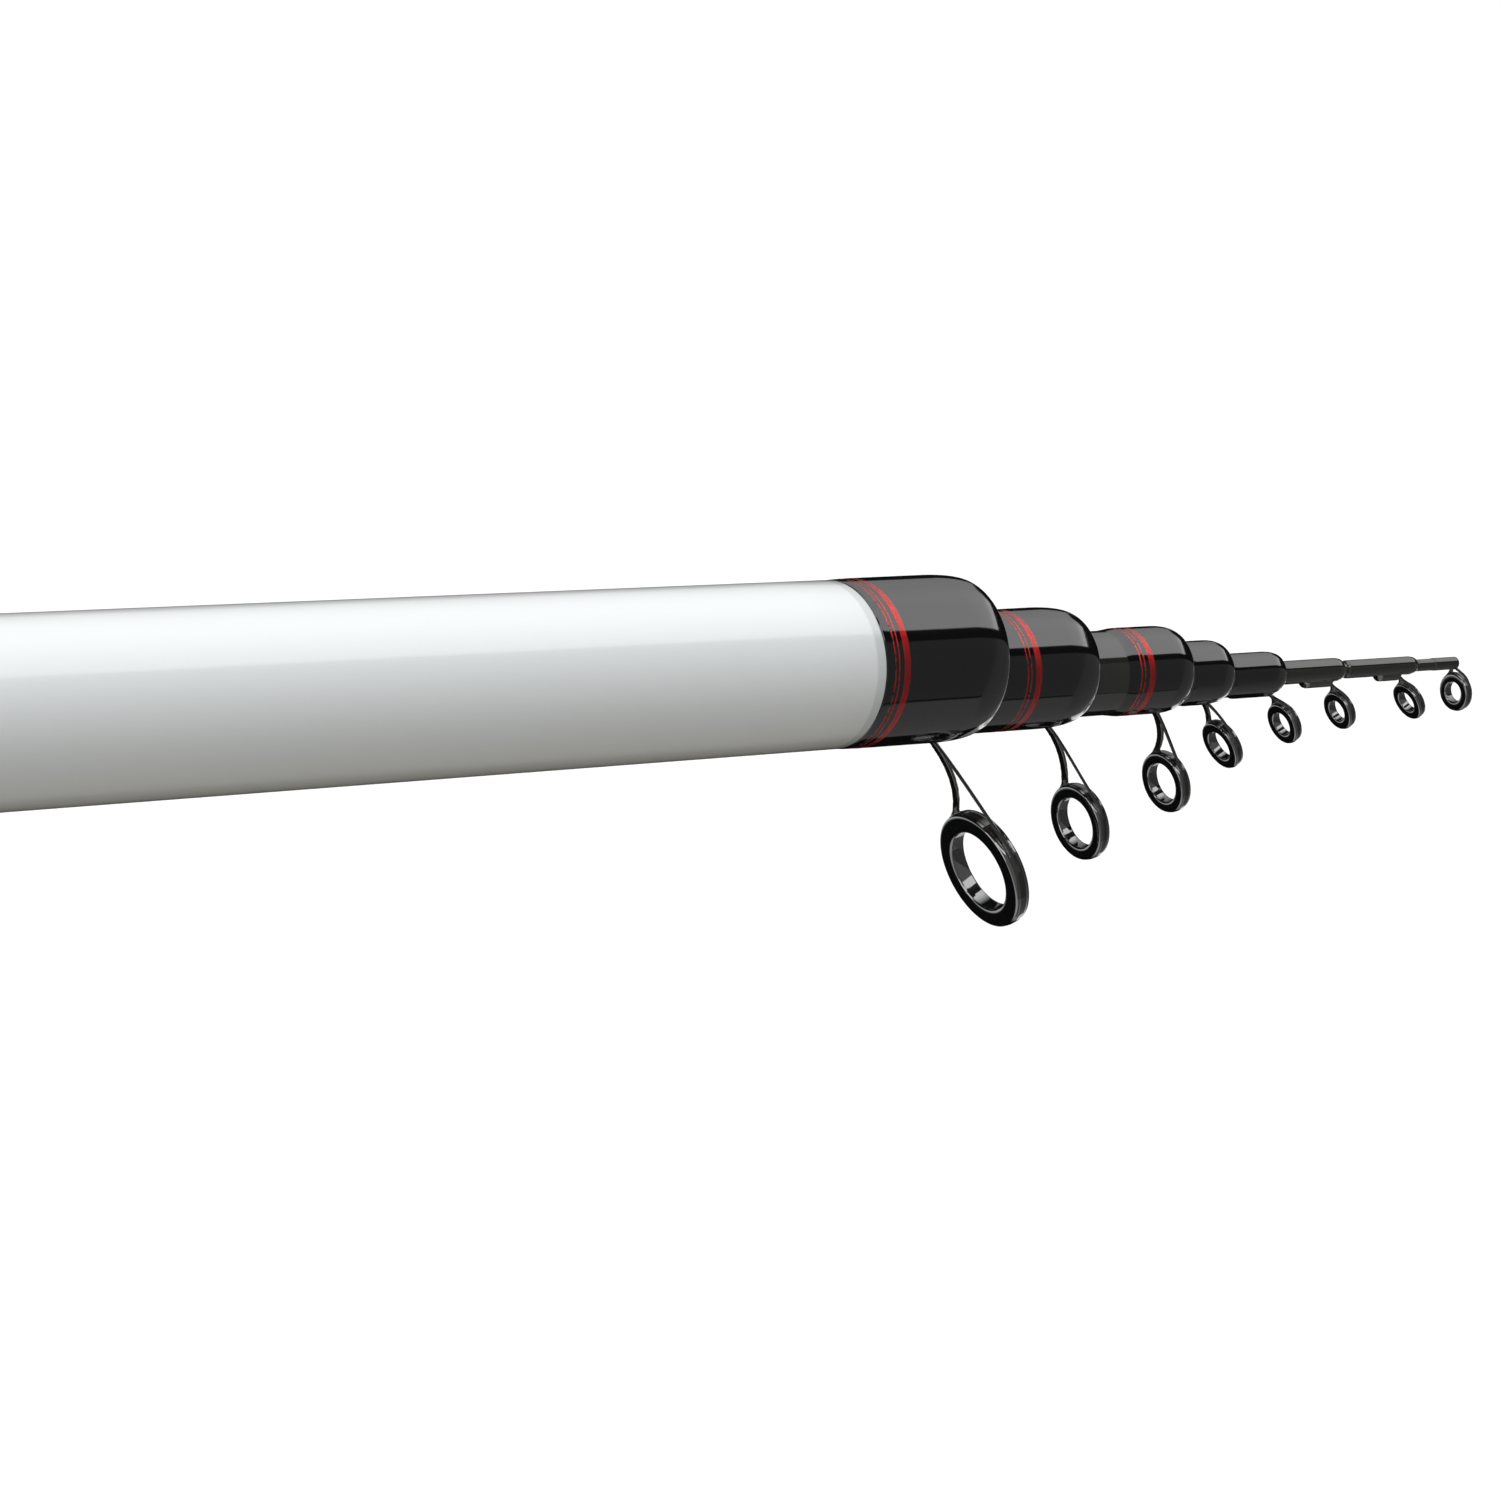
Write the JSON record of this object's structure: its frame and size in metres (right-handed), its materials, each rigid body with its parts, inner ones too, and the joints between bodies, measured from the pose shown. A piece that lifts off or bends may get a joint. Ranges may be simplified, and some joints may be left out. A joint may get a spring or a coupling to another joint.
{
  "type": "telescopic fishing rod",
  "caption": "Closed telescopic fishing rod: white-lacquered butt, nested carbon sections with black collars, a ceramic line guide at each mouth, reel seat and screw-in cap.",
  "frame": {"origin": "middle of the butt's rear rim, on the butt's axis", "axes": "+X along the rod towards the tip, -Z towards the guides and the reel seat, +Y to the left seen from behind"},
  "size_m": [1.1342, 0.0338, 0.0656],
  "materials": {
    "white_coat": "high-gloss white lacquer",
    "black_lacquer": "glossy black lacquer over thread",
    "red_thread": "woven metallic red thread",
    "carbon": "glossy carbon with fine wound lines",
    "guide_frame": "glossy black coating",
    "ceramic": "polished dark ceramic",
    "seat_black": "satin black",
    "cap_black": "satin black moulded plastic",
    "steel": "satin steel",
    "bush_metal": "turned aluminium",
    "rubber": "matt rubber"
  },
  "bodies": {
    "butt": {"butt_blank": "white_coat", "butt_collar": "black_lacquer", "butt_trim": "red_thread", "guide_1_frame": "guide_frame", "guide_1_ring": "ceramic", "reel_plate": "seat_black", "reel_plate_wraps": "black_lacquer", "fixed_hood": "seat_black", "cap_bush": "bush_metal"},
    "section_2": {"section_2_blank": "carbon", "section_2_collar": "black_lacquer", "section_2_trim": "red_thread", "guide_2_frame": "guide_frame", "guide_2_ring": "ceramic"},
    "section_3": {"section_3_blank": "carbon", "section_3_collar": "black_lacquer", "section_3_trim": "red_thread", "guide_3_frame": "guide_frame", "guide_3_ring": "ceramic"},
    "section_4": {"section_4_blank": "carbon", "section_4_collar": "black_lacquer", "guide_4_frame": "guide_frame", "guide_4_ring": "ceramic"},
    "section_5": {"section_5_blank": "carbon", "section_5_collar": "black_lacquer", "guide_5_frame": "guide_frame", "guide_5_ring": "ceramic"},
    "section_6": {"section_6_blank": "carbon", "section_6_wrap": "black_lacquer", "guide_6_frame": "guide_frame", "guide_6_ring": "ceramic"},
    "section_7": {"section_7_blank": "carbon", "section_7_wrap": "black_lacquer", "guide_7_frame": "guide_frame", "guide_7_ring": "ceramic"},
    "tip": {"tip_blank": "carbon", "tip_wrap": "black_lacquer", "tip_guide_frame": "guide_frame", "tip_guide_ring": "ceramic"},
    "sliding_hood": {"sliding_hood": "seat_black", "lever_pin": "steel"},
    "lock_lever": {"lock_lever": "steel"},
    "cap_buffer": {"cap_buffer": "rubber"},
    "butt_cap": {"butt_cap": "cap_black", "cap_pad": "rubber", "cap_oring": "rubber"}
  },
  "joints": [
    {"name": "section_2_slide", "type": "slide", "parent": "butt", "child": "section_2", "axis": [1, 0.0012, 0.0025], "range_m": [0, 0.906]},
    {"name": "section_3_slide", "type": "slide", "parent": "section_2", "child": "section_3", "axis": [1, 0.0007, 0.0014], "range_m": [0, 0.9348]},
    {"name": "section_4_slide", "type": "slide", "parent": "section_3", "child": "section_4", "axis": [1, 0.0004, 0.0009], "range_m": [0, 0.964]},
    {"name": "section_5_slide", "type": "slide", "parent": "section_4", "child": "section_5", "axis": [1, 0.0004, 0.0008], "range_m": [0, 0.9804]},
    {"name": "section_6_slide", "type": "slide", "parent": "section_5", "child": "section_6", "axis": [1, 0.0001, 0.0001], "range_m": [0, 0.9996]},
    {"name": "section_7_slide", "type": "slide", "parent": "section_6", "child": "section_7", "axis": [1, 0, 0.0001], "range_m": [0, 1.0208]},
    {"name": "tip_slide", "type": "slide", "parent": "section_7", "child": "tip", "axis": [1, 0, 0.0001], "range_m": [0, 1.0448]},
    {"name": "hood_slide", "type": "slide", "parent": "butt", "child": "sliding_hood", "axis": [1, 0, 0], "range_m": [0, 0.028]},
    {"name": "lever_pivot", "type": "hinge", "parent": "sliding_hood", "child": "lock_lever", "pos_m": [0.3205, 0, -0.024], "axis": [0, -1, 0], "range_deg": [0, 90]},
    {"name": "cap_screw_out", "type": "slide", "parent": "butt", "child": "cap_buffer", "axis": [-1, 0, 0], "range_m": [0, 0.0121]},
    {"name": "cap_turn", "type": "hinge", "parent": "cap_buffer", "child": "butt_cap", "pos_m": [0, 0, 0], "axis": [-1, 0, 0], "range_deg": [0, 2160]}
  ],
  "couplings": [
    {"joint": "cap_screw_out", "follows": "cap_turn", "m_per_rad": 0.00031831}
  ]
}
